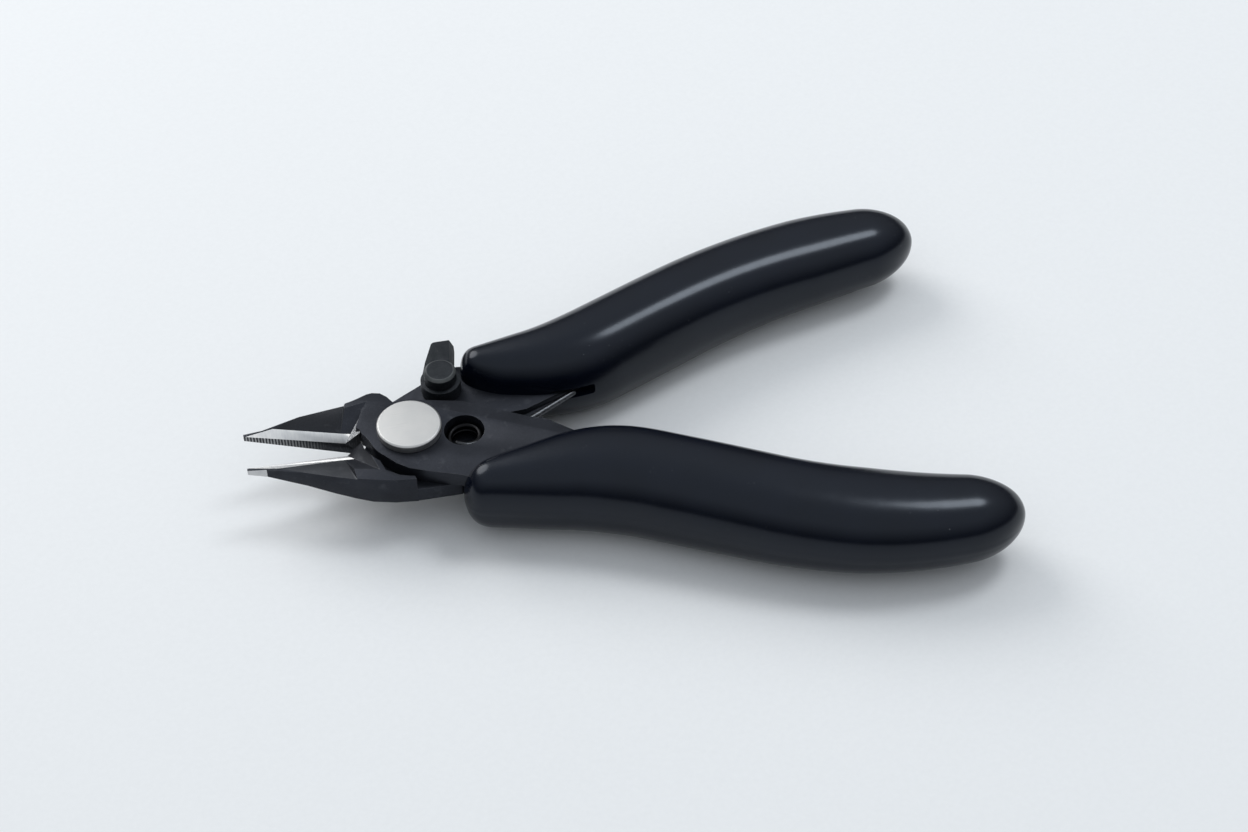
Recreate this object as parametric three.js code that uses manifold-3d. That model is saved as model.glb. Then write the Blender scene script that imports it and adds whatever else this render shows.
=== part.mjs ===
// Small lap-joint flush cutter: two crossed steel halves on a rivet, a torsion spring,
// a lock lever and two vinyl grips. Millimetres, +Z up, the jaws point along -X.
// The pivot's axis is the Z axis and the flat end of the rivet's tail lies at Z = 0.
import * as THREE from 'three';
import { mergeVertices } from 'three/addons/utils/BufferGeometryUtils.js';
import Module from 'manifold-3d';

const wasm = await Module();
wasm.setup();

// ---- joint ----
const bodyThickness = 4;          // both lap plates together
const lapLevel = 2;               // where the two plates meet
const lapGap = 0.025;             // each plate stays this far from the lap level
const halfOpening = THREE.MathUtils.degToRad(7.5); // each jaw's turn from closed
const bossRadius = 5;             // round end of each lap plate beside the jaws
const pocketRadius = 5.95;        // recess in each jaw's heel, round the other plate's boss
const lapRadius = 9.4;            // round edge of the lower plate under the front handle
const tailProud = 0.75;           // rivet tail below the lower plate

// ---- jaws ----
const tipX = -19.65;
const jawFaceGap = 0.02;          // ground face of each jaw from the cutting plane
const edgeSlope = 0.169;          // cutting edge rises toward the tip
const edgeHeelX = -8.1;
const edgeHeelZ = 2.05;
const bandSlope = 0.488;          // ground band beside the cutting edge
const bandWidth = 1.13;
const facetSlope = 0.294;         // milled facet beside the ground band
const undersideSlope = 0.245;     // the jaws thin out from below
const undersideX = -6.35;

// ---- rivet and washer ----
const rivetHeadRadius = 3.9;
const rivetHeadHeight = 1.05;
const rivetShankRadius = 2.2;
const rivetTailRadius = 2.75;
const rivetHoleRadius = 2.25;
const rivetWasher = { inner: 2.25, outer: 3.5, thickness: 0.3 };
const seatGap = 0.04;             // between faces that bear on each other

// ---- spring ----
const springCentre = new THREE.Vector2(6.44, -1.36);
const springHoleRadius = 2.45;
const springCoilRadius = 1.85;
const springWireRadius = 0.36;
const springPitch = 0.8;
const springBottomZ = 1.5;
const springLegAngle = THREE.MathUtils.degToRad(29.4);
const springLegLength = 15.4;
const springTurns = 2.18;
const springEndRise = 0.25;       // the coil's last part climbs toward the plate's face
const springChannelFloor = 1.06;

// ---- lock ----
const leverCentre = new THREE.Vector2(4.83, 7.7);
const hubRadius = 2.45;
const hubBottomZ = 2.16;
const hubTopZ = 3.8;
const tabBottomZ = 2.75;
const pinRadius = 1.1;
const pinCapRadius = 2;
const pinCapHeight = 1.7;
const pinCapChamfer = 0.3;
const pinClearance = 0.06;
const lockWasher = { inner: 1.2, outer: 2.1, bottom: 2.0, thickness: 0.12 };

// ---- handles ----
// Each handle's centre line, seen from above: straight beside the joint, a bend outward from
// bendX, straight again, and a long sweep from sweepX back to the first direction.
const handleY = 9.3;
const bendRadius = 22;
const frontSplay = THREE.MathUtils.degToRad(26.5);
const backSplay = THREE.MathUtils.degToRad(24.5);
const frontHandle = { side: -1, bendX: 17.5, splay: frontSplay, sweepX: 40, sweepRadius: 60 };
const backHandle = { side: 1, bendX: 16, splay: backSplay, sweepX: 36, sweepRadius: 88 };
const tangHalfWidth = 2.6;
const tangStartX = 16;            // where the tang's outer edge takes up the handle's line
const tangInnerX = 26;            // and its inner edge
const tangEndX = 57;              // centre of the tang's round end
const tangFit = 0.22;             // room round each tang inside its grip

// ---- grips ----
// A grip swells from its narrow front to its full half width and half thickness, and tapers
// from taperX to its end. Its front end is cut to nose and rounds off over noseLength. The
// two sleeves aren't quite alike: the front one is wider and starts nearer the joint.
const gripMidZ = 1;
const gripExponent = 2.3;         // rounder than a rectangle, squarer than an ellipse
const gripRingPoints = 26;
const gripRings = 26;
const gripCapLength = 6.7;
const gripCapRings = 6;
const gripNoseRings = 4;
const gripEndX = 69.5;
const gripSwellFrom = -1;
const gripSwellTo = 25;
const gripTaperPower = 1.4;
const gripThickness = { narrow: 4.15, full: 6.1, end: 4.35, taperX: 32 };
const frontGrip = {
  handle: frontHandle,
  start: 5.1,
  nose: 0.5,
  noseLength: 3,
  width: { narrow: 2, full: 6.35, end: 4.15, taperX: 50 },
};
const backGrip = {
  handle: backHandle,
  start: 7.5,
  nose: 0.86,
  noseLength: 1.2,
  width: { narrow: 1.9, full: 5.8, end: 4.15, taperX: 54 },
};

const steel = { color: 0x30343b, roughness: 0.42, metalness: 0.85 };
const satin = { color: 0xa8aaaa, roughness: 0.35, metalness: 0.95 };
const darkSteel = { color: 0x2b3036, roughness: 0.5, metalness: 0.8 };
const springSteel = { color: 0x777b80, roughness: 0.35, metalness: 0.95 };
const vinyl = { color: 0x14171d, roughness: 0.22, metalness: 0 };

// ---- helpers ----

// A closed three.js geometry as a solid that can be cut and joined.
function solidOf(geometry) {
  const bare = geometry.clone();
  bare.deleteAttribute('normal');
  bare.deleteAttribute('uv');
  const merged = mergeVertices(bare, 1e-5);
  return new wasm.Manifold(new wasm.Mesh({
    numProp: 3,
    vertProperties: new Float32Array(merged.attributes.position.array),
    triVerts: new Uint32Array(merged.index.array),
  }));
}

function geometryOf(solid) {
  const mesh = solid.getMesh();
  const geometry = new THREE.BufferGeometry();
  geometry.setAttribute('position', new THREE.BufferAttribute(mesh.vertProperties, 3));
  geometry.setIndex(new THREE.BufferAttribute(mesh.triVerts, 1));
  geometry.computeVertexNormals();
  return geometry;
}

function part(name, geometry, look) {
  const mesh = new THREE.Mesh(geometry, new THREE.MeshStandardMaterial(look));
  mesh.name = name;
  return mesh;
}

const points = (list, side = 1) => list.map(([x, y]) => new THREE.Vector2(x, y * side));

// A flat plate with the given outline, from bottom to top.
function plate(shape, bottom, top, curveSegments = 5) {
  const geometry = new THREE.ExtrudeGeometry(shape, {
    depth: top - bottom,
    bevelEnabled: false,
    curveSegments,
  });
  geometry.translate(0, 0, bottom);
  return solidOf(geometry);
}

function disc(radius, bottom, top, centre = new THREE.Vector2(), segments = 40) {
  const geometry = new THREE.CylinderGeometry(radius, radius, top - bottom, segments);
  geometry.rotateX(Math.PI / 2);
  geometry.translate(centre.x, centre.y, (bottom + top) / 2);
  return solidOf(geometry);
}

function turned(profile, segments = 40) {
  const geometry = new THREE.LatheGeometry(points(profile), segments);
  geometry.rotateX(Math.PI / 2);
  return geometry;
}

// Everything on one side of a plane, near the object.
function beyond(point, normal) {
  const size = 80;
  const geometry = new THREE.BoxGeometry(size, size, size);
  geometry.translate(0, 0, size / 2);
  const turn = new THREE.Quaternion().setFromUnitVectors(
    new THREE.Vector3(0, 0, 1),
    normal.clone().normalize(),
  );
  geometry.applyQuaternion(turn);
  geometry.translate(point.x, point.y, point.z);
  return solidOf(geometry);
}

function turnedAboutZ(solid, angle) {
  const geometry = geometryOf(solid);
  geometry.rotateZ(angle);
  return solidOf(geometry);
}

// ---- jaws ----

// Plan outline of a jaw and its heel, for the back jaw; the front one is its mirror image
// but for the heel. The heel is hollowed round the other half's boss.
function jawShape(side) {
  const outline = new THREE.Shape();
  const inner = (x) => -x * Math.tan(halfOpening) + jawFaceGap;
  const pocketStart = Math.PI - Math.asin(inner(-pocketRadius) / pocketRadius);
  const pocketEnd = THREE.MathUtils.degToRad(133);
  outline.moveTo(tipX, side * inner(tipX));
  outline.lineTo(pocketRadius * Math.cos(pocketStart), side * inner(-pocketRadius));
  outline.absarc(0, 0, pocketRadius, side * pocketStart, side * pocketEnd, side > 0);
  const backHeel = [[-3.55, 5.6], [-2.75, 6.66], [-3.71, 6.89]];
  const frontHeel = [[-3.6, 5.9], [-2.1, 7], [-0.95, 7.4], [-0.35, 7.5], [-0.2, 8.02], [-2.8, 7.75]];
  const backSide = [[-4.41, 6.79], [-5.9, 6.15], [-7.2, 5.75]];
  const frontSide = [[-5.65, 7.05], [-7.4, 6.6], [-9.8, 5.8]];
  const shared = [[-12.9, 4.6], [-17.4, 3.2], [tipX, inner(tipX) + 0.35]];
  const rest = side > 0 ? [...backHeel, ...backSide, ...shared] : [...frontHeel, ...frontSide, ...shared];
  points(rest, side).forEach((p) => outline.lineTo(p.x, p.y));
  return outline;
}

// The planes that shape a jaw, in its closed position: the ground band along the cutting
// edge, the milled facet beside it, their ramps up to the body, and the underside.
function jawCutters(side) {
  const up = (slope) => new THREE.Vector3(edgeSlope, -slope * side, 1);
  const heel = new THREE.Vector3(edgeHeelX, 0, edgeHeelZ);
  const band = beyond(heel, up(bandSlope));
  const bandRamp = beyond(
    new THREE.Vector3(edgeHeelX + 0.3, 0, edgeHeelZ),
    new THREE.Vector3(-0.68, 0.1 * side, 0.72),
  );
  const bandTop = new THREE.Vector3(edgeHeelX, bandWidth * side, edgeHeelZ + bandWidth * bandSlope);
  const facet = beyond(bandTop, up(facetSlope));
  const facetRamp = beyond(
    new THREE.Vector3(edgeHeelX - 0.3, bandTop.y, bandTop.z),
    new THREE.Vector3(-0.93, 0, 0.37),
  );
  const underside = beyond(
    new THREE.Vector3(undersideX, 0, 0),
    new THREE.Vector3(-undersideSlope, 0, -1),
  );
  return band.intersect(bandRamp).add(facet.intersect(facetRamp)).add(underside);
}

function jaw(side) {
  const block = plate(jawShape(side), 0, bodyThickness);
  return block.subtract(turnedAboutZ(jawCutters(side), -halfOpening * side));
}

// ---- handle tangs ----

// Where a handle's centre line is at x, and the way it heads there, on the back handle's side.
function handleAt({ bendX, splay, sweepX, sweepRadius }, x) {
  const rise = (radius, heading) => radius * (1 - Math.cos(heading));
  const bendEndX = bendX + bendRadius * Math.sin(splay);
  if (x < bendEndX) {
    const heading = Math.asin(Math.max(0, x - bendX) / bendRadius);
    return { y: handleY + rise(bendRadius, heading), heading };
  }
  const straightY = (at) => handleY + rise(bendRadius, splay) + (at - bendEndX) * Math.tan(splay);
  if (x < sweepX) return { y: straightY(x), heading: splay };
  const sweepEndX = sweepX + sweepRadius * Math.sin(splay);
  const heading = Math.asin(Math.max(0, sweepEndX - x) / sweepRadius);
  return { y: straightY(sweepX) + rise(sweepRadius, splay) - rise(sweepRadius, heading), heading };
}

// The tang's outer edge, round end and inner edge, widened by grow, on the back handle's side.
function tangOutline(handle, grow = 0) {
  const reach = tangHalfWidth + grow;
  const steps = 10;
  const place = (x, turn) => {
    const { y, heading } = handleAt(handle, x);
    return [x + reach * Math.cos(heading + turn), y + reach * Math.sin(heading + turn)];
  };
  const row = (make) => Array.from({ length: steps + 1 }, (_, i) => make(i / steps));
  const lerp = THREE.MathUtils.lerp;
  return [
    ...row((t) => place(lerp(tangStartX, tangEndX, t), Math.PI / 2)),
    ...row((t) => place(tangEndX, Math.PI * (0.5 - t))).slice(1, -1),
    ...row((t) => place(lerp(tangEndX, tangInnerX, t), -Math.PI / 2)),
  ];
}

// Full-thickness part of a tang; it starts under the grip, clear of the other half's swing.
function tangBlock(handle, bottom, top, grow = 0) {
  const inner = [[22.2, 6.35 - grow], [18.5, 5.6 - grow], [13.4, 6.4 - grow], [9.4 - grow, 8.4 - grow]];
  const outline = [[9.4 - grow, 10.9 + grow], ...tangOutline(handle, grow), ...inner];
  return plate(new THREE.Shape(points(outline, handle.side)), bottom, top);
}

// Joins each lap plate's boss to its jaw, inside the other jaw's recess.
const web = [[-6.3, 1.6], [-5.85, 1.15], [-5.72, 0.5], [-4.92, -0.87]];

// ---- lower half ----

function lowerPlateShape() {
  const outline = new THREE.Shape();
  const bossEnd = THREE.MathUtils.degToRad(134);
  outline.moveTo(bossRadius * Math.cos(bossEnd), bossRadius * Math.sin(bossEnd));
  points([[-2.2, 5.4], [-1.94, 6.45], [0.46, 7.88]]).forEach((p) => outline.lineTo(p.x, p.y));
  const seatFrom = THREE.MathUtils.degToRad(152);
  const seatTo = THREE.MathUtils.degToRad(75);
  outline.absarc(leverCentre.x, leverCentre.y, hubRadius + 0.3, seatFrom, seatTo, true);
  points([[7.2, 11.3], [9.4, 10.9]]).forEach((p) => outline.lineTo(p.x, p.y));
  points(tangOutline(backHandle)).forEach((p) => outline.lineTo(p.x, p.y));
  points([[22.6, 6.35], [21.1, 5.35], [16.3, 2.66], [14.6, 1.1]]).forEach((p) => outline.lineTo(p.x, p.y));
  const lapStart = THREE.MathUtils.degToRad(-12);
  const lapEnd = THREE.MathUtils.degToRad(-57.5);
  outline.absarc(0, 0, lapRadius, lapStart, lapEnd, true);
  points([[0.4, -7.97], [-0.5, -7.95], [-3, -7.2], [-5.2, -4.4]]).forEach((p) => outline.lineTo(p.x, p.y));
  points(web, -1).forEach((p) => outline.lineTo(p.x, p.y));
  outline.absarc(0, 0, bossRadius, THREE.MathUtils.degToRad(170), bossEnd, true);
  return outline;
}

// Where the coil and the long leg lie in the lower plate, over the whole stroke.
function springChannelShape() {
  const coil = springCoilRadius + springWireRadius + 0.2;
  const outline = new THREE.Shape();
  outline.absarc(springCentre.x, springCentre.y, coil, Math.PI, 1.75 * Math.PI, false);
  points([[15.2, 0.4], [21.9, 4.3], [21.2, 5.35], [14.6, 2.55], [8.4, 2.1]])
    .forEach((p) => outline.lineTo(p.x, p.y));
  outline.absarc(6.57, 0.35, coil, 0.3 * Math.PI, Math.PI, false);
  return outline;
}

function lowerHalf() {
  const lapTop = lapLevel - lapGap;
  return jaw(-1)
    .add(plate(lowerPlateShape(), 0, lapTop))
    .add(tangBlock(backHandle, 0, bodyThickness))
    .subtract(disc(rivetHoleRadius, -1, lapTop + 1))
    .subtract(plate(springChannelShape(), springChannelFloor, bodyThickness))
    .subtract(disc(pinRadius + pinClearance, -1, lapTop + 1, leverCentre));
}

// ---- upper half ----

function upperPlateShape() {
  const outline = new THREE.Shape();
  outline.moveTo(-3.71, 6.89);
  points([[-2.75, 6.66], [-2, 5.9], [-1.35, 4.82]]).forEach((p) => outline.lineTo(p.x, p.y));
  const bossFrom = THREE.MathUtils.degToRad(105.6);
  const bossTo = THREE.MathUtils.degToRad(68);
  outline.absarc(0, 0, bossRadius, bossFrom, bossTo, true);
  points([[6.8, 3.46], [8.8, 2.42], [14.6, -0.72], [16.26, -1.29], [19.66, -4.14], [22.6, -6.35]])
    .forEach((p) => outline.lineTo(p.x, p.y));
  points(tangOutline(frontHandle).reverse(), -1).forEach((p) => outline.lineTo(p.x, p.y));
  points([[9.4, -10.9], [7, -9.5], [4.98, -8.37], [1.47, -7.11], [-0.79, -6.18], [-2.19, -5.09]])
    .forEach((p) => outline.lineTo(p.x, p.y));
  const nearFrom = THREE.MathUtils.degToRad(-134);
  const nearTo = THREE.MathUtils.degToRad(-170);
  outline.absarc(0, 0, bossRadius, nearFrom, nearTo, true);
  points([...web].reverse()).forEach((p) => outline.lineTo(p.x, p.y));
  outline.lineTo(-5.2, 4.4);
  return outline;
}

function upperHalf() {
  const lapBottom = lapLevel + lapGap;
  return jaw(1)
    .add(plate(upperPlateShape(), lapBottom, bodyThickness))
    .add(tangBlock(frontHandle, 0, bodyThickness))
    .subtract(disc(rivetHoleRadius, -1, bodyThickness + 1))
    .subtract(disc(springHoleRadius, -1, bodyThickness + 1, springCentre));
}

// ---- rivet ----

function pivotRivet() {
  const headBottom = bodyThickness + seatGap;
  const headTop = headBottom + rivetHeadHeight;
  const washerBottom = -seatGap - rivetWasher.thickness;
  return turned([
    [0, -tailProud],
    [rivetTailRadius - 0.3, -tailProud],
    [rivetTailRadius, washerBottom - seatGap - 0.12],
    [rivetTailRadius, washerBottom - seatGap],
    [rivetShankRadius, washerBottom - seatGap],
    [rivetShankRadius, headBottom],
    [rivetHeadRadius, headBottom],
    [rivetHeadRadius, headTop - 0.2],
    [rivetHeadRadius - 0.25, headTop],
    [0, headTop],
  ], 64);
}

function ring({ inner, outer }, bottom, top) {
  return turned([[inner, bottom], [outer, bottom], [outer, top], [inner, top], [inner, bottom]], 48);
}

// ---- spring ----

// Long leg, then the coil from the leg upward; its end climbs beside the rim of the hole.
function springPath() {
  const path = new THREE.CurvePath();
  const start = springLegAngle - Math.PI / 2;
  const last = springTurns * 2 * Math.PI;
  const onCoil = (turn) => new THREE.Vector3(
    springCentre.x + springCoilRadius * Math.cos(start - turn),
    springCentre.y + springCoilRadius * Math.sin(start - turn),
    springBottomZ + (springPitch * turn) / (2 * Math.PI)
      + springEndRise * THREE.MathUtils.smoothstep(turn, last - Math.PI / 2, last),
  );
  const along = new THREE.Vector3(Math.cos(springLegAngle), Math.sin(springLegAngle), 0);
  const tip = onCoil(0).addScaledVector(along, springLegLength);
  path.add(new THREE.LineCurve3(tip, onCoil(0)));
  class Coil extends THREE.Curve {
    getPoint(t, target = new THREE.Vector3()) {
      return target.copy(onCoil(t * last));
    }
  }
  path.add(new Coil());
  return path;
}

function returnSpring() {
  const section = new THREE.Shape();
  section.absarc(0, 0, springWireRadius, 0, 2 * Math.PI, false);
  return new THREE.ExtrudeGeometry(section, {
    extrudePath: springPath(),
    steps: 90,
    curveSegments: 5,
    bevelEnabled: false,
  });
}

// ---- lock ----

// Tab outline from the hub outward, seen from above, about the lever's centre.
function tabShape() {
  const outline = new THREE.Shape();
  outline.moveTo(-2.3, 0.4);
  points([[-1.45, 3.3], [-0.35, 6.2]]).forEach((p) => outline.lineTo(p.x, p.y));
  outline.quadraticCurveTo(-0.2, 6.55, 0.2, 6.6);
  outline.lineTo(2, 6.62);
  points([[2.5, 6.1], [2.45, 5.2], [2.05, 2.6], [2.3, 0.2]]).forEach((p) => outline.lineTo(p.x, p.y));
  return outline;
}

function lockLever() {
  const tab = plate(tabShape(), tabBottomZ, hubTopZ)
    .subtract(beyond(new THREE.Vector3(2.25, 5, 3.25), new THREE.Vector3(1, -0.12, 0.75)));
  const lever = disc(hubRadius, hubBottomZ, hubTopZ)
    .add(tab)
    .subtract(disc(pinRadius + pinClearance, 0, bodyThickness + 1));
  const geometry = geometryOf(lever);
  geometry.translate(leverCentre.x, leverCentre.y, 0);
  return geometry;
}

function lockPin() {
  const capBottom = hubTopZ + seatGap;
  const capTop = capBottom + pinCapHeight;
  return turned([
    [0, 0.05],
    [pinRadius - 0.2, 0.05],
    [pinRadius, 0.25],
    [pinRadius, capBottom],
    [pinCapRadius, capBottom],
    [pinCapRadius, capTop - pinCapChamfer],
    [pinCapRadius - pinCapChamfer, capTop],
    [0, capTop],
  ]).translate(leverCentre.x, leverCentre.y, 0);
}

// ---- grips ----

// One closed skin through a row of rings with the same number of points.
function loft(rings) {
  const count = rings[0].length;
  const positions = rings.flat().flatMap((p) => [p.x, p.y, p.z]);
  const faces = [];
  for (let i = 0; i < rings.length - 1; i += 1) {
    for (let j = 0; j < count; j += 1) {
      const a = i * count + j;
      const b = i * count + ((j + 1) % count);
      faces.push(a, b, b + count, a, b + count, a + count);
    }
  }
  for (let j = 1; j < count - 1; j += 1) {
    faces.push(0, j + 1, j);
    const last = (rings.length - 1) * count;
    faces.push(last, last + j, last + j + 1);
  }
  const geometry = new THREE.BufferGeometry();
  geometry.setAttribute('position', new THREE.Float32BufferAttribute(positions, 3));
  geometry.setIndex(faces);
  return geometry;
}

// Half width or half thickness of a grip at x.
function gripHalf(x, { narrow, full, end, taperX }) {
  const swollen = narrow + (full - narrow) * THREE.MathUtils.smoothstep(x, gripSwellFrom, gripSwellTo);
  const taper = Math.max(0, (x - taperX) / (gripEndX - taperX)) ** gripTaperPower;
  return swollen - (full - end) * taper;
}

// Rounded section of a grip where its centre line is at x, narrowed by scale.
function gripRing({ handle, width }, x, scale) {
  const { y, heading } = handleAt(handle, x);
  const halfWidth = gripHalf(x, width) * scale;
  const halfThickness = gripHalf(x, gripThickness) * scale;
  const power = 2 / gripExponent;
  return Array.from({ length: gripRingPoints }, (_, i) => {
    const angle = (2 * Math.PI * i) / gripRingPoints;
    const c = Math.cos(angle);
    const s = Math.sin(angle);
    const across = Math.sign(c) * Math.abs(c) ** power * halfWidth;
    const up = Math.sign(s) * Math.abs(s) ** power * halfThickness;
    return new THREE.Vector3(
      x - Math.sin(heading) * across,
      handle.side * (y + Math.cos(heading) * across),
      gripMidZ + handle.side * up,
    );
  });
}

function gripBody(grip) {
  const { start, nose, noseLength } = grip;
  const capStart = gripEndX - gripCapLength;
  const rings = [];
  for (let i = 0; i < gripNoseRings; i += 1) {
    const turn = (Math.PI / 2) * (i / gripNoseRings);
    const x = start + noseLength * (1 - Math.cos(turn));
    rings.push(gripRing(grip, x, nose + (1 - nose) * Math.sin(turn)));
  }
  for (let i = 0; i <= gripRings; i += 1) {
    const x = THREE.MathUtils.lerp(start + noseLength, capStart, i / gripRings);
    rings.push(gripRing(grip, x, 1));
  }
  for (let i = 1; i <= gripCapRings; i += 1) {
    const turn = (Math.PI / 2) * (i / (gripCapRings + 0.35));
    rings.push(gripRing(grip, capStart + gripCapLength * Math.sin(turn), Math.cos(turn) ** 0.91));
  }
  return solidOf(loft(rings));
}

// The slanted front end: the sleeve reaches further forward on its outer side.
function gripFrontCut({ handle, start }) {
  const { side } = handle;
  const outline = new THREE.Shape();
  outline.moveTo(-5, 11 * side);
  outline.lineTo(start - 0.1, 11 * side);
  outline.quadraticCurveTo(start + 0.1, 9.2 * side, start + 1.3, 8.45 * side);
  const lip = [[8.6, 7.25], [11.5, 5.75], [14.2, 4.85], [16.8, 4.4], [19.6, 4.3], [21.5, 3.2], [22.5, -2]];
  outline.splineThru(points(lip.filter(([x]) => x > start + 1.4), side));
  outline.lineTo(-5, -2 * side);
  return plate(outline, -12, 14, 10);
}

// Room for the tang and the plate that it grows from, which leaves the grip through front.
function tangRoom(handle, front, plateBottom, plateTop) {
  const g = tangFit;
  const inner = [[22.6, 6.35 - g], [21.1, 4.7 - g], [16.3, 1], [2, -2]];
  const outline = [...front, [9.4, 10.9 + g], ...tangOutline(handle, g), ...inner];
  return plate(new THREE.Shape(points(outline, handle.side)), plateBottom - g, plateTop + g)
    .add(tangBlock(handle, -g, bodyThickness + g, g));
}

function frontSleeve() {
  const front = [[2, 7.6], [4.9, 8.8], [7, 9.9]];
  return gripBody(frontGrip)
    .subtract(gripFrontCut(frontGrip))
    .subtract(tangRoom(frontHandle, front, lapLevel, bodyThickness));
}

// The back grip also has the slot that the spring's long leg ends in.
function backSleeve() {
  const front = [[2, 12.4], [7.2, 11.7]];
  const slot = new THREE.BoxGeometry(5.2, 3.4, 1.5);
  slot.rotateZ(springLegAngle);
  slot.translate(20.9, 4.15, springBottomZ + 0.1);
  return gripBody(backGrip)
    .subtract(gripFrontCut(backGrip))
    .subtract(tangRoom(backHandle, front, 0, lapLevel))
    .subtract(solidOf(slot));
}

// ---- assembly ----

const cutter = new THREE.Group();
cutter.position.z = tailProud;
const lockWasherTop = lockWasher.bottom + lockWasher.thickness;
const lockWasherRing = ring(lockWasher, lockWasher.bottom, lockWasherTop);
lockWasherRing.translate(leverCentre.x, leverCentre.y, 0);
const rivetWasherBottom = -seatGap - rivetWasher.thickness;
cutter.add(
  part('lower_half', geometryOf(lowerHalf()), steel),
  part('upper_half', geometryOf(upperHalf()), steel),
  part('pivot_rivet', pivotRivet(), satin),
  part('rivet_washer', ring(rivetWasher, rivetWasherBottom, -seatGap), satin),
  part('return_spring', returnSpring(), springSteel),
  part('lock_washer', lockWasherRing, springSteel),
  part('lock_lever', lockLever(), darkSteel),
  part('lock_pin', lockPin(), darkSteel),
  part('front_grip', geometryOf(frontSleeve()), vinyl),
  part('back_grip', geometryOf(backSleeve()), vinyl),
);

export default cutter;
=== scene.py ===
"""The flush cutter's looks: black-oxide steel halves, a satin rivet, a spring and glossy vinyl grips.

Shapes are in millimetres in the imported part's frame (the pivot's axis is Z, the jaws point along -X)
and become metres when a mesh is made. BASE is the height of the lower plate's underside.
"""

import math

import bmesh
import bpy
import numpy as np
from mathutils import Matrix, Vector


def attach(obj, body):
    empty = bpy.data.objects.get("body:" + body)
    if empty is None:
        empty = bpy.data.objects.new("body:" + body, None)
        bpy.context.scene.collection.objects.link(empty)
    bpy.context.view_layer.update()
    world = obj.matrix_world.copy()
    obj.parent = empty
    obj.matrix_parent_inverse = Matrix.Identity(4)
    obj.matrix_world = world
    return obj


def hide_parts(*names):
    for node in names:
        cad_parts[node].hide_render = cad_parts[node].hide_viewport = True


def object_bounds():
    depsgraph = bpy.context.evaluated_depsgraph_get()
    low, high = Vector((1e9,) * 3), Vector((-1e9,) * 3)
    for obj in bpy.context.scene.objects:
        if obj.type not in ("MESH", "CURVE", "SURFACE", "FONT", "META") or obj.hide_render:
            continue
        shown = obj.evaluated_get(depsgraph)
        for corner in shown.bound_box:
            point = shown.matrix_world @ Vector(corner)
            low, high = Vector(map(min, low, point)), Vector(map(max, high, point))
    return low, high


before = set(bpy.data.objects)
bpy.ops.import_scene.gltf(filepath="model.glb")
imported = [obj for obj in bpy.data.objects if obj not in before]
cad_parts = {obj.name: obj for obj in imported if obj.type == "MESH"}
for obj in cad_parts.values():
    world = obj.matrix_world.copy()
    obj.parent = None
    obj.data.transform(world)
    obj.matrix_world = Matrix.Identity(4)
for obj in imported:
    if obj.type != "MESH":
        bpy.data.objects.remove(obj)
cad_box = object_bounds()

# ---- driving dimensions in millimetres, as in the part ----

MM = 0.001
BASE = 0.75
TOP = BASE + 4.0
HALF_OPENING = math.radians(7.5)
EDGE_SLOPE, BAND_SLOPE, FACET_SLOPE = 0.169, 0.488, 0.294
BAND_WIDTH = 1.13
RAMP_NORMAL = (-0.68, 0.1, 0.72)
JAW_START = -5.0
RELIEF_X = -17.2
RIVET = {"head": 3.9, "shank": 2.2, "tail": 2.75, "tail_top": 0.37}
PIN = {"cap": 2.0, "stud": 1.1}
SPRING = {"x": 6.44, "y": -1.36, "coil": 1.85, "wire": 0.36, "pitch": 0.8, "low": 1.5, "rise": 0.25}
SPRING_TURNS = 2.18
LEG_ANGLE = math.radians(29.4)
LEG_LENGTH = 15.4
LEVER = (4.83, 7.7)
HANDLE_Y = 9.3
BEND_RADIUS = 22.0
GRIP_MID = BASE + 1.0
GRIP_POWER = 2 / 2.3
GRIP_END = 69.5
GRIP_CAP = 6.7
GRIP_SWELL = (-1.0, 25.0)
GRIP_TAPER_POWER = 1.4
GRIP_THICKNESS = {"narrow": 4.15, "full": 6.1, "end": 4.35, "taper_x": 32}
# inner, outer and height say how far back from its front each side of a sleeve rounds off, and how
# squarely.
FRONT_GRIP = {
    "start": 5.1, "bend_x": 17.5, "splay": math.radians(26.5), "sweep_x": 40, "sweep_radius": 60,
    "width": {"narrow": 2.0, "full": 6.35, "end": 4.15, "taper_x": 50},
    "inner": (5.0, 2.0), "outer": (2.2, 2.5), "height": (3.2, 2.2),
}
BACK_GRIP = {
    "start": 7.5, "bend_x": 16, "splay": math.radians(24.5), "sweep_x": 36, "sweep_radius": 88,
    "width": {"narrow": 1.9, "full": 5.8, "end": 4.15, "taper_x": 54},
    "inner": (5.5, 2.0), "outer": (1.6, 2.6), "height": (2.4, 2.6),
}

# ---- dimensions that only the looks have, in millimetres and radians ----

STEEL_EDGE, LEVER_EDGE = 0.11, 0.14
TICK_PITCH = 0.36
TICKS_FADE = (-10.0, -17.0)
RING_PITCH = 0.09
HOLE_SHADE_END_X = (8.6, 9.2)
NOSE_LENGTH = 5.5
NOSE_FIRST, TAIL_LAST = 0.02, math.pi / 2 - 0.03
CAP_POWER = 0.455
RIDGE = {"height": 0.05, "spread": 0.035}
SLOT = {"size": (5.2, 3.4, 1.5), "edge": 0.3, "middle": (20.9, 4.15, BASE + 1.6)}
FLOOR_DROP = 0.06
LIGHT_AIM = (0.02, 0, 0)


# ---- material helpers ----

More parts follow.
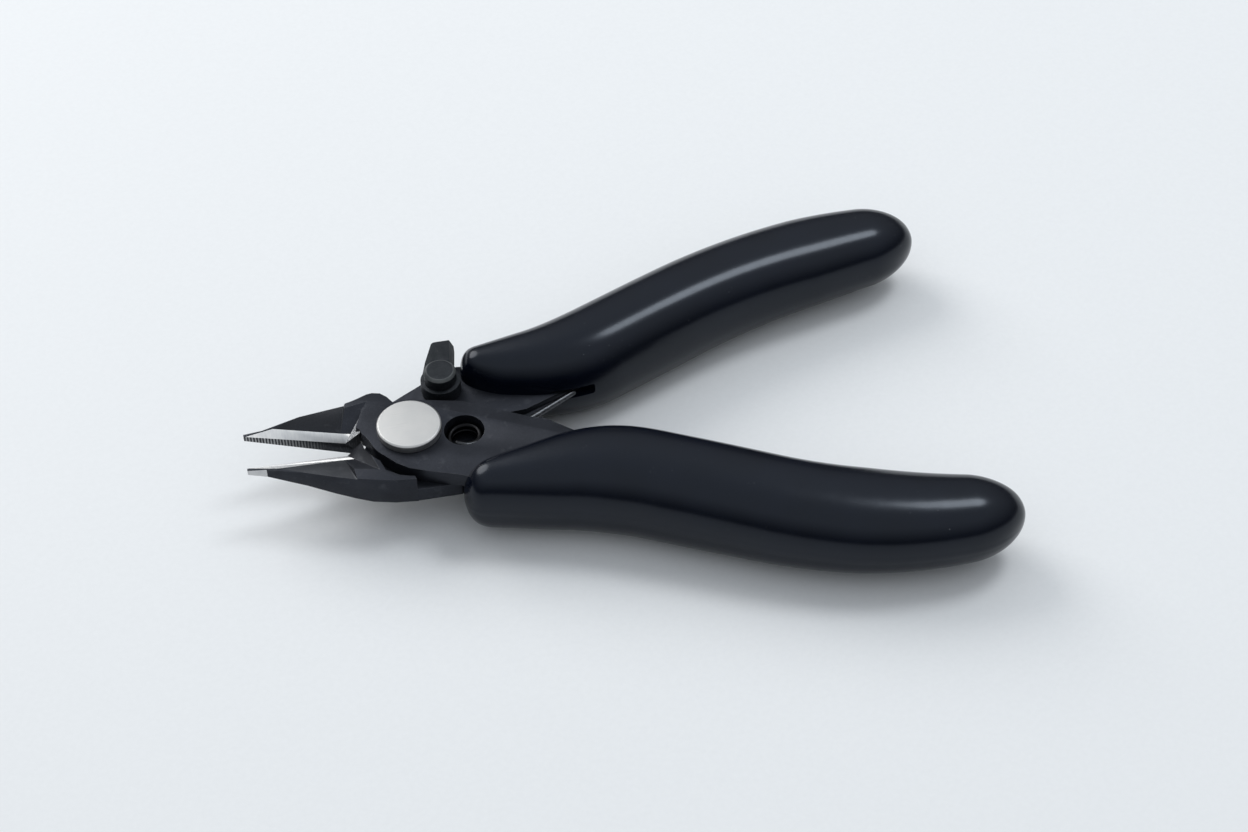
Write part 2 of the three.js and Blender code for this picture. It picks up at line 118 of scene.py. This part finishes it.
class Graph:
    """A material and short ways to add the nodes that the finishes share."""

    def __init__(self, name, **settings):
        self.material = bpy.data.materials.new(name)
        self.material.use_nodes = True
        self.tree = self.material.node_tree
        self.surface = self.tree.nodes["Principled BSDF"]
        for socket, value in settings.items():
            self.surface.inputs[socket.replace("_", " ")].default_value = value
        self.place = self.tree.nodes.new("ShaderNodeTexCoord").outputs["Object"]

    def node(self, kind, inputs, output=0, **options):
        made = self.tree.nodes.new("ShaderNode" + kind)
        for option, value in options.items():
            setattr(made, option, value)
        for socket, value in inputs.items():
            self.feed(made.inputs[socket], value)
        return made.outputs[output]

    def feed(self, socket, value):
        if isinstance(value, bpy.types.NodeSocket):
            self.tree.links.new(value, socket)
        else:
            socket.default_value = value

    def noise(self, size, detail=3.0, stretch=(1, 1, 1), turn=0.0, roughness=0.55):
        """Noise whose features are about size millimetres, longer along the axes with a small stretch."""
        place = self.node("Mapping", {"Vector": self.place, "Rotation": (0, 0, turn), "Scale": stretch})
        scale = 1 / (size * MM)
        return self.node("TexNoise", {"Vector": place, "Scale": scale, "Detail": detail,
                                      "Roughness": roughness})

    def remap(self, value, low, high, to_low=0.0, to_high=1.0):
        return self.node("MapRange", {"Value": value, "From Min": low, "From Max": high,
                                      "To Min": to_low, "To Max": to_high})

    def sum(self, first, second):
        return self.node("Math", {0: first, 1: second}, operation="ADD")

    def times(self, first, second):
        return self.node("Math", {0: first, 1: second}, operation="MULTIPLY")

    def blend(self, factor, first, second):
        return self.node("Mix", {0: factor, 6: (*first, 1) if isinstance(first, tuple) else first,
                                 7: (*second, 1) if isinstance(second, tuple) else second},
                         output=2, data_type="RGBA")

    def coordinate(self, axis):
        return self.node("SeparateXYZ", {"Vector": self.place}, output="XYZ".index(axis))

    def finish(self, color, roughness, height, depth):
        """height, from 0 to 1, stands depth millimetres high."""
        self.feed(self.surface.inputs["Base Color"], color)
        self.feed(self.surface.inputs["Roughness"], roughness)
        bump = self.node("Bump", {"Height": height, "Distance": depth * MM, "Strength": 1.0})
        self.feed(self.surface.inputs["Normal"], bump)
        return self.material


def black_oxide(name, dark, light, rough, wear=0.0):
    """Blackened steel with a faint mottle, a fine grain and a few rubbed spots; wear bares the metal."""
    g = Graph(name, Metallic=0.72, Specular_IOR_Level=0.5)
    cloud = g.noise(5.0, detail=5)
    grain = g.noise(0.16, detail=2)
    tone = g.remap(g.sum(g.times(cloud, 0.65), g.times(grain, 0.35)), 0.35, 0.65)
    color = g.blend(tone, dark, light)
    rubbed = g.remap(g.noise(1.4, detail=4), 0.60 - wear, 0.78 - wear)
    color = g.blend(g.times(rubbed, 0.12 + wear), color, (0.22, 0.23, 0.25))
    smear = g.remap(g.noise(3.0, detail=3, stretch=(0.4, 1, 1)), 0.3, 0.7, rough - 0.06, rough + 0.08)
    return g.finish(color, smear, g.sum(grain, g.times(cloud, 0.6)), depth=0.012)


def ground_steel(name, turn):
    """Bare ground steel: fine lines across the cutting edge."""
    tone, rough = 0.58, 0.46
    g = Graph(name, Metallic=1.0)
    lines = g.noise(0.07, detail=3, stretch=(1, 0.06, 0.06), turn=turn)
    patch = g.noise(1.1, detail=3)
    mixed = g.remap(g.sum(g.times(lines, 0.6), g.times(patch, 0.4)), 0.35, 0.65)
    color = g.blend(mixed, (tone * 0.86, tone * 0.87, tone * 0.89), (tone * 1.12, tone * 1.12, tone * 1.11))
    return g.finish(color, g.remap(lines, 0.3, 0.7, rough - 0.08, rough + 0.12), lines, depth=0.006)


def ticked_face(name):
    """The jaws' inner faces: blackened over upright grinding ticks, clearest near the tip."""
    g = Graph(name, Metallic=0.85)
    along = g.coordinate("X")
    wave = g.node("Math", {0: g.times(along, 2 * math.pi / (TICK_PITCH * MM))}, operation="SINE")
    near_tip = g.remap(along, TICKS_FADE[0] * MM, TICKS_FADE[1] * MM)
    jitter = g.noise(0.25, detail=3, stretch=(1, 1, 0.15))
    tick = g.times(g.remap(g.sum(wave, g.times(jitter, 2.0)), 0.6, 1.9), near_tip)
    grain = g.noise(0.12, detail=3, stretch=(1, 1, 0.2))
    color = g.blend(tick, (0.030, 0.032, 0.036), (0.40, 0.405, 0.41))
    color = g.blend(g.remap(grain, 0.55, 0.8, 0.0, 0.3), color, (0.25, 0.25, 0.26))
    height = g.sum(g.times(tick, -0.8), grain)
    return g.finish(color, g.remap(jitter, 0.3, 0.7, 0.34, 0.5), height, depth=0.02)


def milled_ramp(name):
    """The rough milled run-out behind the back jaw's ground band."""
    g = Graph(name, Metallic=0.9)
    bite = g.noise(0.14, detail=4, stretch=(1, 0.5, 1))
    color = g.blend(g.remap(bite, 0.42, 0.62), (0.16, 0.165, 0.175), (0.62, 0.63, 0.65))
    return g.finish(color, g.remap(bite, 0.3, 0.7, 0.5, 0.7), bite, depth=0.02)


def satin_head(name):
    """The rivet's lapped head: fine rings and stray hairline scratches."""
    g = Graph(name, Metallic=1.0)
    flat = g.node("VectorMath", {0: g.place, 1: (1, 1, 0)}, operation="MULTIPLY")
    radius = g.node("VectorMath", {0: flat}, output="Value", operation="LENGTH")
    rings = g.node("TexNoise", {"W": g.times(radius, 1 / (RING_PITCH * MM)), "Scale": 1.0, "Detail": 3.0},
                   noise_dimensions="1D")
    hairs = g.remap(g.noise(0.16, detail=4, stretch=(0.05, 1, 1), turn=0.7), 0.60, 0.72)
    cloud = g.noise(2.4, detail=4)
    color = g.blend(g.remap(cloud, 0.3, 0.7), (0.53, 0.53, 0.525), (0.57, 0.565, 0.555))
    color = g.blend(g.times(hairs, 0.18), color, (0.42, 0.42, 0.43))
    rough = g.sum(g.remap(cloud, 0.3, 0.7, 0.40, 0.45), g.times(hairs, 0.06))
    return g.finish(color, rough, g.sum(g.times(rings, 0.6), g.times(hairs, -0.5)), depth=0.0015)


def drawn_wire(name):
    """Spring wire: drawn lines and a grey oxide. Painted shade makes it almost black down in the hole, and
    leaves the leg and, in part, the coil's near side lit.
    """
    g = Graph(name, Metallic=1.0)
    drawn = g.noise(0.2, detail=4, stretch=(0.15, 1, 1), turn=-LEG_ANGLE)
    spots = g.remap(g.noise(0.5, detail=4), 0.56, 0.72)
    color = g.blend(g.remap(drawn, 0.35, 0.65), (0.06, 0.063, 0.07), (0.13, 0.134, 0.142))
    color = g.blend(g.times(spots, 0.4), color, (0.06, 0.055, 0.05))
    # painted shade: near black in the hole, fading out along the leg and, partly, towards the coil's near
    # side
    leg = g.remap(g.coordinate("X"), HOLE_SHADE_END_X[0] * MM, HOLE_SHADE_END_X[1] * MM)
    lit_near_side = g.remap(g.coordinate("Y"), (SPRING["y"] - 1.3) * MM, (SPRING["y"] - 2.2) * MM, 0.0, 0.7)
    unshaded = g.node("Math", {0: leg, 1: lit_near_side}, operation="MAXIMUM")
    color = g.blend(unshaded, (0.012, 0.012, 0.013), color)
    return g.finish(color, g.remap(drawn, 0.3, 0.7, 0.24, 0.4), drawn, depth=0.008)


def matte_oxide(name, rim_highlight=0.0):
    """The lock's coarser, speckled black finish. A rim above 0 lightens it towards grey: a painted rim
    highlight for chamfers and bevelled edges.
    """
    g = Graph(name, Metallic=0.6)
    speck = g.noise(0.11, detail=3, roughness=0.7)
    cloud = g.noise(1.6, detail=4)
    color = g.blend(g.remap(cloud, 0.35, 0.65), (0.009, 0.012, 0.016), (0.019, 0.022, 0.027))
    color = g.blend(g.remap(speck, 0.60, 0.72, 0.0, 0.4), color, (0.16, 0.17, 0.17))
    # painted rim highlight: lightens the finish towards grey
    if rim_highlight:
        color = g.blend(g.remap(cloud, 0.35, 0.6, rim_highlight * 0.4, rim_highlight), color, (0.17, 0.18, 0.18))
    return g.finish(color, g.remap(speck, 0.3, 0.7, 0.42, 0.62), speck, depth=0.02)


def vinyl(name):
    """Dipped vinyl: near black, glossy, slightly wavy, with handling marks and a little dust."""
    g = Graph(name, Metallic=0.0, IOR=1.45, Specular_IOR_Level=0.36, Specular_Tint=(0.80, 0.88, 1.0, 1),
              Coat_Weight=0.08, Coat_Roughness=0.08, Coat_IOR=1.4)
    swell = g.noise(7.0, detail=2)
    peel = g.noise(0.9, detail=3)
    color = g.blend(g.remap(swell, 0.3, 0.7), (0.0014, 0.0024, 0.0060), (0.0024, 0.0038, 0.0090))
    scuff = g.remap(g.noise(0.5, detail=5, stretch=(0.12, 1, 1), turn=-0.35), 0.66, 0.8)
    dust = g.remap(g.noise(0.22, detail=1), 0.80, 0.86)
    color = g.blend(g.times(dust, 0.6), color, (0.35, 0.36, 0.37))
    rough = g.sum(g.remap(peel, 0.3, 0.7, 0.21, 0.23), g.sum(g.times(scuff, 0.06), g.times(dust, 0.4)))
    height = g.sum(g.times(swell, 0.8), g.sum(g.times(peel, 0.02), g.times(dust, 0.05)))
    return g.finish(color, rough, height, depth=0.05)


def floor_paper(name):
    """The pale paper that the cutter lies on."""
    g = Graph(name, Metallic=0.0, Specular_IOR_Level=0.2)
    fibre = g.noise(0.6, detail=4)
    color = g.blend(g.remap(fibre, 0.3, 0.7), (0.80, 0.81, 0.82), (0.82, 0.83, 0.84))
    return g.finish(color, g.remap(fibre, 0.3, 0.7, 0.5, 0.6), fibre, depth=0.01)


# ---- mesh helpers ----

def piece(name, mesh, body, node, materials, smooth_angle=35):
    """An object in the scene that rides on a body and stands for a CAD node."""
    made = bpy.data.objects.new(name, mesh)
    bpy.context.scene.collection.objects.link(made)
    for look in materials:
        mesh.materials.append(look)
    mesh.shade_smooth()
    mesh.set_sharp_from_angle(angle=math.radians(smooth_angle))
    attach(made, body)
    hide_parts(node)


def mesh_of(name, verts, faces):
    mesh = bpy.data.meshes.new(name)
    mesh.from_pydata([tuple(float(c) * MM for c in v) for v in verts], [], faces)
    mesh.validate()
    return mesh


def skin(rings, close_ends=True):
    """Points and faces through a row of equal rings, with each end closed by a fan to its middle."""
    count = len(rings[0])
    verts = [tuple(p) for ring in rings for p in ring]
    faces = []
    for i in range(len(rings) - 1):
        for j in range(count):
            a, b = i * count + j, i * count + (j + 1) % count
            faces.append((a, b, b + count, a + count))
    if close_ends:
        for ring, start, flip in ((rings[0], 0, True), (rings[-1], (len(rings) - 1) * count, False)):
            verts.append(tuple(np.mean(ring, axis=0)))
            tip = len(verts) - 1
            for j in range(count):
                a, b = start + j, start + (j + 1) % count
                faces.append((b, a, tip) if flip else (a, b, tip))
    return verts, faces


def rounded(profile, radius):
    """A profile with all but its first and last corners rounded off over radius."""
    steps, largest_share = 4, 0.45
    corners = [np.array(p, float) for p in profile]
    out = [corners[0]]
    for before, corner, after in zip(corners, corners[1:], corners[2:]):
        sides = [np.linalg.norm(p - corner) for p in (before, after)]
        reach = min(radius, *(largest_share * s for s in sides))
        enter = corner + (before - corner) / sides[0] * reach
        leave = corner + (after - corner) / sides[1] * reach
        for t in np.linspace(0, 1, steps + 1):
            out.append((1 - t) ** 2 * enter + 2 * t * (1 - t) * corner + t * t * leave)
    return out + [corners[-1]]


def lathe(name, profile, centre=(0, 0), segments=96):
    """A turned mesh from (radius, height) pairs that begin and end on the axis, or close on themselves."""
    angles = np.linspace(0, 2 * math.pi, segments, endpoint=False)
    solid = profile[0][0] == 0
    rows = profile[1:-1] if solid else [*profile, profile[0]]
    rings = [[(centre[0] + r * math.cos(a), centre[1] + r * math.sin(a), z) for a in angles]
             for r, z in rows]
    verts, faces = skin(rings, close_ends=solid)
    return mesh_of(name, verts, faces)


def turned_normal(normal, angle):
    return (Matrix.Rotation(angle, 3, "Z") @ Vector(normal)).normalized()


def eased(node, width, kinds=(), keep_sharp=(), least_angle=25, parting=None):
    """A copy of a CAD solid with bevelled edges, width millimetres wide.

    kinds are tests that give faces a material of their own, numbered from 1; the bevels take the number
    after the last. Edges of the keep_sharp materials, and edges that turn less than least_angle, stay as
    they are. parting is a plane (point, normal) that splits faces before they are tested.
    """
    weld, sliver, on_plane, flat = 0.012, 0.004, 0.01, math.radians(1.0)
    solid = bmesh.new()
    solid.from_mesh(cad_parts[node].data)
    bmesh.ops.scale(solid, vec=(1 / MM,) * 3, verts=solid.verts)
    bmesh.ops.remove_doubles(solid, verts=solid.verts, dist=weld)
    bmesh.ops.dissolve_degenerate(solid, edges=solid.edges, dist=sliver)
    if parting:
        everything = [*solid.verts, *solid.edges, *solid.faces]
        point, normal = parting
        bmesh.ops.bisect_plane(solid, geom=everything, dist=on_plane, plane_co=point, plane_no=normal)
    for face in solid.faces:
        centre = face.calc_center_median()
        for index, test in enumerate(kinds, start=1):
            if test(face.normal, centre):
                face.material_index = index
    bmesh.ops.dissolve_limit(solid, angle_limit=flat, verts=solid.verts, edges=solid.edges,
                             delimit={"MATERIAL"})
    sharp = [e for e in solid.edges
             if len(e.link_faces) == 2
             and e.calc_face_angle(0) > math.radians(least_angle)
             and not any(f.material_index in keep_sharp for f in e.link_faces)]
    bmesh.ops.bevel(solid, geom=sharp, offset=width, offset_type="OFFSET", segments=2, profile=0.6,
                    affect="EDGES", clamp_overlap=True, material=len(kinds) + 1)
    bmesh.ops.scale(solid, vec=(MM,) * 3, verts=solid.verts)
    mesh = bpy.data.meshes.new(node + "_shape")
    solid.to_mesh(mesh)
    solid.free()
    return mesh


# ---- steel halves ----

def jaw_tests(side):
    """Tests for a jaw's ground band, inner face, milled ramp, facet and outer relief, in that order."""
    angle = -HALF_OPENING * side
    from_face = turned_normal((0, side, 0), angle)
    same_way = 0.998

    def on_jaw(normal, centre, wanted):
        return centre.x < JAW_START and normal.dot(turned_normal(wanted, angle)) > same_way

    def band(normal, centre):
        sloped = on_jaw(normal, centre, (EDGE_SLOPE, -BAND_SLOPE * side, 1))
        return sloped and centre.dot(from_face) < BAND_WIDTH

    def inner_face(normal, centre):
        return on_jaw(normal, centre, (0, -side, 0))

    def ramp(normal, centre):
        x, y, z = RAMP_NORMAL
        return on_jaw(normal, centre, (x, y * side, z))

    def facet(normal, centre):
        return on_jaw(normal, centre, (EDGE_SLOPE, -FACET_SLOPE * side, 1))

    def relief(normal, centre):
        return centre.x < RELIEF_X and normal.y * side > 0.5

    return band, inner_face, ramp, facet, relief


def steel_half(name, node, body, side, facet_look):
    """The half whose jaw lies towards side on Y. Its band, inner face and relief stay crisp."""
    tests = jaw_tests(side)
    ramp_look, relief_look = (RAMP, OXIDE) if side > 0 else (FACET, GROUND)
    # the last look, on every bevel, is a lighter oxide: a painted edge highlight
    looks = [OXIDE, GROUND, TICKED, ramp_look, facet_look, relief_look, EDGE_HIGHLIGHT]
    from_face = turned_normal((0, side, 0), -HALF_OPENING * side)
    parting = (from_face * BAND_WIDTH, from_face)
    mesh = eased(node, STEEL_EDGE, kinds=tests, keep_sharp=(1, 2, 5), parting=parting)
    piece(name, mesh, body, node, looks, smooth_angle=30)


# ---- round pieces ----

def rivet():
    head, top = TOP + 0.04, TOP + 1.09
    radius, shank, tail, tail_top = RIVET["head"], RIVET["shank"], RIVET["tail"], RIVET["tail_top"]
    profile = [(0, 0), (tail - 0.3, 0), (tail, tail_top - 0.15), (tail, tail_top), (shank, tail_top),
               (shank, head), (radius, head), (radius, top - 0.16), (radius - 0.2, top), (0, top)]
    mesh = lathe("pivot_rivet_shape", rounded(profile, 0.05))
    piece("rivet", mesh, "lower", "pivot_rivet", [SATIN])


def washer(name, node, centre, inner, outer, low, high, look):
    ring = [(inner, low), (outer, low), (outer, high), (inner, high), (inner, low)]
    mesh = lathe(name + "_shape", rounded(ring, (high - low) * 0.3)[:-1], centre)
    piece(name, mesh, "lower", node, [look])


def pin():
    foot, cap, top, chamfer = BASE + 0.05, BASE + 3.84, BASE + 5.54, 0.34
    radius, stud = PIN["cap"], PIN["stud"]
    profile = [(0, foot), (stud - 0.2, foot), (stud, foot + 0.2), (stud, cap), (radius - 0.1, cap),
               (radius, cap + 0.12), (radius, top - chamfer), (radius - chamfer, top), (0, top)]
    mesh = lathe("lock_pin_shape", rounded(profile, 0.09), LEVER, 72)
    piece("pin", mesh, "lower", "lock_pin", [MATTE, MATTE_RIM_HIGHLIGHT])
    # the cap's chamfer takes the second, lighter look: a painted rim highlight
    for face in mesh.polygons:
        height = face.center.z / MM
        if top - chamfer - 0.02 < height < top - 0.005:
            face.material_index = 1


def lever():
    mesh = eased("lock_lever", LEVER_EDGE, least_angle=20)
    # the lever's bevels take the second, lighter look: a painted rim highlight
    piece("lever", mesh, "lever", "lock_lever", [MATTE, MATTE_RIM_HIGHLIGHT], smooth_angle=30)


# ---- spring ----

def spring_line():
    """Points along the wire: the leg from its tip, then the coil, which climbs in its last quarter turn."""
    start = LEG_ANGLE - math.pi / 2
    last = SPRING_TURNS * 2 * math.pi
    leg_points, coil_points = 40, 200

    def on_coil(turn):
        t = min(max((turn - (last - math.pi / 2)) / (math.pi / 2), 0), 1)
        climb = SPRING["rise"] * t * t * (3 - 2 * t)
        return np.array((SPRING["x"] + SPRING["coil"] * math.cos(start - turn),
                         SPRING["y"] + SPRING["coil"] * math.sin(start - turn),
                         BASE + SPRING["low"] + SPRING["pitch"] * turn / (2 * math.pi) + climb))

    along = np.array((math.cos(LEG_ANGLE), math.sin(LEG_ANGLE), 0))
    leg = [on_coil(0) + along * d for d in np.linspace(LEG_LENGTH, 0.15, leg_points)]
    return leg + [on_coil(t) for t in np.linspace(0, last, coil_points)]


def spring():
    """The wire as rings along its line, which shrink beyond its first and last points to round its ends."""
    line = spring_line()
    wire, sides = SPRING["wire"], 20
    rings = []
    tangents = np.gradient(np.array(line), axis=0)
    ends = [(-wire * math.cos(a), math.sin(a)) for a in np.linspace(0.15, math.pi / 2, 6)][:-1]
    stations = [(line[0], tangents[0], d, s) for d, s in ends]
    stations += [(p, t, 0, 1) for p, t in zip(line, tangents)]
    stations += [(line[-1], tangents[-1], -d, s) for d, s in reversed(ends)]
    for point, tangent, shift, scale in stations:
        tangent = tangent / np.linalg.norm(tangent)
        across = np.cross(tangent, (0, 0, 1))
        across /= np.linalg.norm(across)
        up = np.cross(across, tangent)
        middle = point + tangent * shift
        rings.append([middle + wire * scale * (math.cos(a) * across + math.sin(a) * up)
                      for a in np.linspace(0, 2 * math.pi, sides, endpoint=False)])
    verts, faces = skin(rings)
    mesh = mesh_of("return_spring_shape", verts, faces)
    mesh.flip_normals()
    piece("spring", mesh, "spring", "return_spring", [WIRE], smooth_angle=60)


# ---- grips ----

def bulge(distance, length, power):
    """How far a rounded end has opened at a distance from its front, from 0 to 1."""
    t = min(max(distance / length, 0.0), 1.0)
    return (1 - (1 - t) ** power) ** (1 / power)


def handle_at(grip, x):
    """Where a handle's centre line is at x, and its heading there, on the back handle's side."""
    splay, sweep_x, sweep_radius = grip["splay"], grip["sweep_x"], grip["sweep_radius"]

    def rise(radius, heading):
        return radius * (1 - math.cos(heading))

    def straight_y(at):
        return HANDLE_Y + rise(BEND_RADIUS, splay) + (at - bend_end) * math.tan(splay)

    bend_end = grip["bend_x"] + BEND_RADIUS * math.sin(splay)
    if x < bend_end:
        heading = math.asin(max(0.0, x - grip["bend_x"]) / BEND_RADIUS)
        return HANDLE_Y + rise(BEND_RADIUS, heading), heading
    if x < sweep_x:
        return straight_y(x), splay
    heading = math.asin(max(0.0, sweep_x + sweep_radius * math.sin(splay) - x) / sweep_radius)
    return straight_y(sweep_x) + rise(sweep_radius, splay) - rise(sweep_radius, heading), heading


def grip_half(x, size):
    """Half width or half thickness of a grip at x."""
    t = min(max((x - GRIP_SWELL[0]) / (GRIP_SWELL[1] - GRIP_SWELL[0]), 0), 1)
    swollen = size["narrow"] + (size["full"] - size["narrow"]) * t * t * (3 - 2 * t)
    taper = max(0.0, (x - size["taper_x"]) / (GRIP_END - size["taper_x"])) ** GRIP_TAPER_POWER
    return swollen - (size["full"] - size["end"]) * taper


def sleeve_rings(side, grip):
    """A sleeve's cross sections, from its nose to its tail, closer together at both ends."""
    around, along, at_end = 112, 130, 26
    start, cap = grip["start"], GRIP_END - GRIP_CAP
    front = start + NOSE_LENGTH * (1 - np.cos(np.linspace(NOSE_FIRST, math.pi / 2, at_end)))
    middle = np.linspace(start + NOSE_LENGTH, cap, along)[1:]
    tail = cap + GRIP_CAP * np.sin(np.linspace(0, TAIL_LAST, at_end))[1:]
    rings = []
    for x in np.concatenate([front, middle, tail]):
        y, heading = handle_at(grip, x)
        closing = (1 - max(0.0, (x - cap) / GRIP_CAP) ** 2) ** CAP_POWER
        opened = {key: bulge(x - start, *grip[key]) * closing for key in ("inner", "outer", "height")}
        half_width, half_height = grip_half(x, grip["width"]), grip_half(x, GRIP_THICKNESS)
        ring = []
        for angle in np.linspace(-math.pi, math.pi, around, endpoint=False):
            c, s = math.cos(angle), math.sin(angle)
            reach = opened["outer" if c > 0 else "inner"]
            across = math.copysign(abs(c) ** GRIP_POWER, c) * half_width * reach
            up = math.copysign(abs(s) ** GRIP_POWER, s) * half_height * opened["height"]
            across += RIDGE["height"] * math.exp(-(angle / RIDGE["spread"]) ** 2) * opened["outer"]
            ring.append((x - math.sin(heading) * across,
                         side * (y + math.cos(heading) * across),
                         GRIP_MID + up))
        rings.append(ring)
    return rings


def sleeve(name, node, body, side, grip, cutter=None):
    verts, faces = skin(sleeve_rings(side, grip))
    mesh = mesh_of(node + "_shape", verts, faces)
    if side > 0:
        mesh.flip_normals()
    if cutter is not None:
        mesh = carved(mesh, cutter)
    piece(name, mesh, body, node, [VINYL], smooth_angle=40)


def carved(mesh, cutter):
    """mesh with the cutter's space taken out."""
    pair = [bpy.data.objects.new("carve", m) for m in (mesh, cutter)]
    for o in pair:
        bpy.context.scene.collection.objects.link(o)
    cut = pair[0].modifiers.new("cut", "BOOLEAN")
    cut.operation, cut.solver, cut.object = "DIFFERENCE", "EXACT", pair[1]
    done = bpy.data.meshes.new_from_object(pair[0].evaluated_get(bpy.context.evaluated_depsgraph_get()))
    for o in pair:
        bpy.data.objects.remove(o)
    return done


def slot_cutter():
    """The pocket in the back grip that the spring's leg ends in, with rounded edges."""
    solid = bmesh.new()
    bmesh.ops.create_cube(solid, size=1)
    bmesh.ops.scale(solid, vec=SLOT["size"], verts=solid.verts)
    bmesh.ops.bevel(solid, geom=solid.edges, offset=SLOT["edge"], segments=3, profile=0.5, affect="EDGES")
    place = Matrix.Translation(SLOT["middle"]) @ Matrix.Rotation(LEG_ANGLE, 4, "Z")
    bmesh.ops.transform(solid, matrix=Matrix.Scale(MM, 4) @ place, verts=solid.verts)
    mesh = bpy.data.meshes.new("slot_cutter")
    solid.to_mesh(mesh)
    solid.free()
    return mesh


# ---- stage ----

def camera():
    """The photograph's viewing angle, in metres."""
    aim = Vector((0.0255, -0.0038, 0.0058))
    azimuth, elevation, distance = math.radians(-11.19), math.radians(46.79), 0.2794
    back = Vector((math.sin(azimuth) * math.cos(elevation), -math.cos(azimuth) * math.cos(elevation),
                   math.sin(elevation)))
    data = bpy.data.cameras.new("camera")
    data.lens, data.sensor_width = 67.15, 36.0
    data.clip_start, data.clip_end = 0.01, 10
    made = bpy.data.objects.new("camera", data)
    bpy.context.scene.collection.objects.link(made)
    made.location = aim + back * distance
    made.rotation_mode = "QUATERNION"
    made.rotation_quaternion = back.to_track_quat("Z", "Y")
    bpy.context.scene.camera = made


def softbox(name, direction, distance, size, power, color):
    """A round soft light, in metres and watts, that faces the cutter from a direction."""
    data = bpy.data.lights.new(name, "AREA")
    data.shape, data.size = "DISK", size
    data.energy, data.color = power, color
    made = bpy.data.objects.new(name, data)
    bpy.context.scene.collection.objects.link(made)
    way = Vector(direction).normalized()
    made.location = Vector(LIGHT_AIM) + way * distance
    made.rotation_mode = "QUATERNION"
    made.rotation_quaternion = way.to_track_quat("Z", "Y")


def sky():
    """A studio that is dim near the horizon and bright overhead."""
    world = bpy.data.worlds.new("studio")
    world.use_nodes = True
    tree = world.node_tree
    background = tree.nodes["Background"]
    background.inputs["Color"].default_value = (0.90, 0.95, 1.0, 1)
    way = tree.nodes.new("ShaderNodeSeparateXYZ")
    tree.links.new(tree.nodes.new("ShaderNodeTexCoord").outputs["Generated"], way.inputs[0])
    fade = tree.nodes.new("ShaderNodeMapRange")
    tree.links.new(way.outputs["Z"], fade.inputs["Value"])
    for socket, value in {"From Min": 0.12, "From Max": 0.75, "To Min": 0.08, "To Max": 0.78}.items():
        fade.inputs[socket].default_value = value
    tree.links.new(fade.outputs[0], background.inputs["Strength"])
    bpy.context.scene.world = world


def stage():
    """The paper, just below the sleeves, the studio and its two lights."""
    side = 1.6
    rest = cad_box[0].z - FLOOR_DROP * MM
    corners = [(-side, -side, rest), (side, -side, rest), (side, side, rest), (-side, side, rest)]
    mesh = bpy.data.meshes.new("floor_shape")
    mesh.from_pydata(corners, [], [(0, 1, 2, 3)])
    floor = bpy.data.objects.new("floor", mesh)
    mesh.materials.append(floor_paper("floor_paper"))
    bpy.context.scene.collection.objects.link(floor)
    sky()
    bpy.context.scene.view_settings.view_transform = "Standard"
    softbox("key", (0.45, 0.2, 0.86), 0.55, 0.17, 0.65, (0.93, 0.97, 1.0))
    softbox("left", (-0.5, 0.7, 0.62), 0.7, 0.5, 2.4, (1.0, 0.99, 0.97))


camera()
stage()

OXIDE = black_oxide("black_oxide", (0.013, 0.015, 0.021), (0.026, 0.029, 0.038), 0.44)
FACET = black_oxide("facet_oxide", (0.008, 0.009, 0.012), (0.017, 0.019, 0.024), 0.42)
# a lighter copy of the oxide for the front jaw's facet: painted sheen
FACET_SHEEN = black_oxide("facet_painted_sheen", (0.040, 0.043, 0.050), (0.075, 0.078, 0.086), 0.38, wear=0.05)
# a lighter oxide for every bevelled steel edge: a painted edge highlight
EDGE_HIGHLIGHT = black_oxide("edge_painted_highlight", (0.035, 0.037, 0.043), (0.085, 0.088, 0.095), 0.36, wear=0.1)
GROUND = ground_steel("ground_band", HALF_OPENING)
TICKED = ticked_face("inner_face")
RAMP = milled_ramp("milled_ramp")
SATIN = satin_head("satin_head")
WIRE = drawn_wire("drawn_wire")
MATTE = matte_oxide("matte_oxide")
# the lighter copy for chamfers and bevels: a painted rim highlight
MATTE_RIM_HIGHLIGHT = matte_oxide("matte_rim_highlight", rim_highlight=0.5)
VINYL = vinyl("vinyl")

steel_half("back_jaw_half", "upper_half", "upper", 1, FACET)
steel_half("front_jaw_half", "lower_half", "lower", -1, FACET_SHEEN)
rivet()
washer("tail_washer", "rivet_washer", (0, 0), 2.25, 3.5, BASE - 0.34, BASE - 0.04, SATIN)
# the washer takes the wire finish, whose painted hole shade leaves it near black
washer("lever_washer", "lock_washer", LEVER, 1.2, 2.1, BASE + 2.0, BASE + 2.12, WIRE)
spring()
lever()
pin()
sleeve("front_sleeve", "front_grip", "upper", -1, FRONT_GRIP)
sleeve("back_sleeve", "back_grip", "lower", 1, BACK_GRIP, slot_cutter())
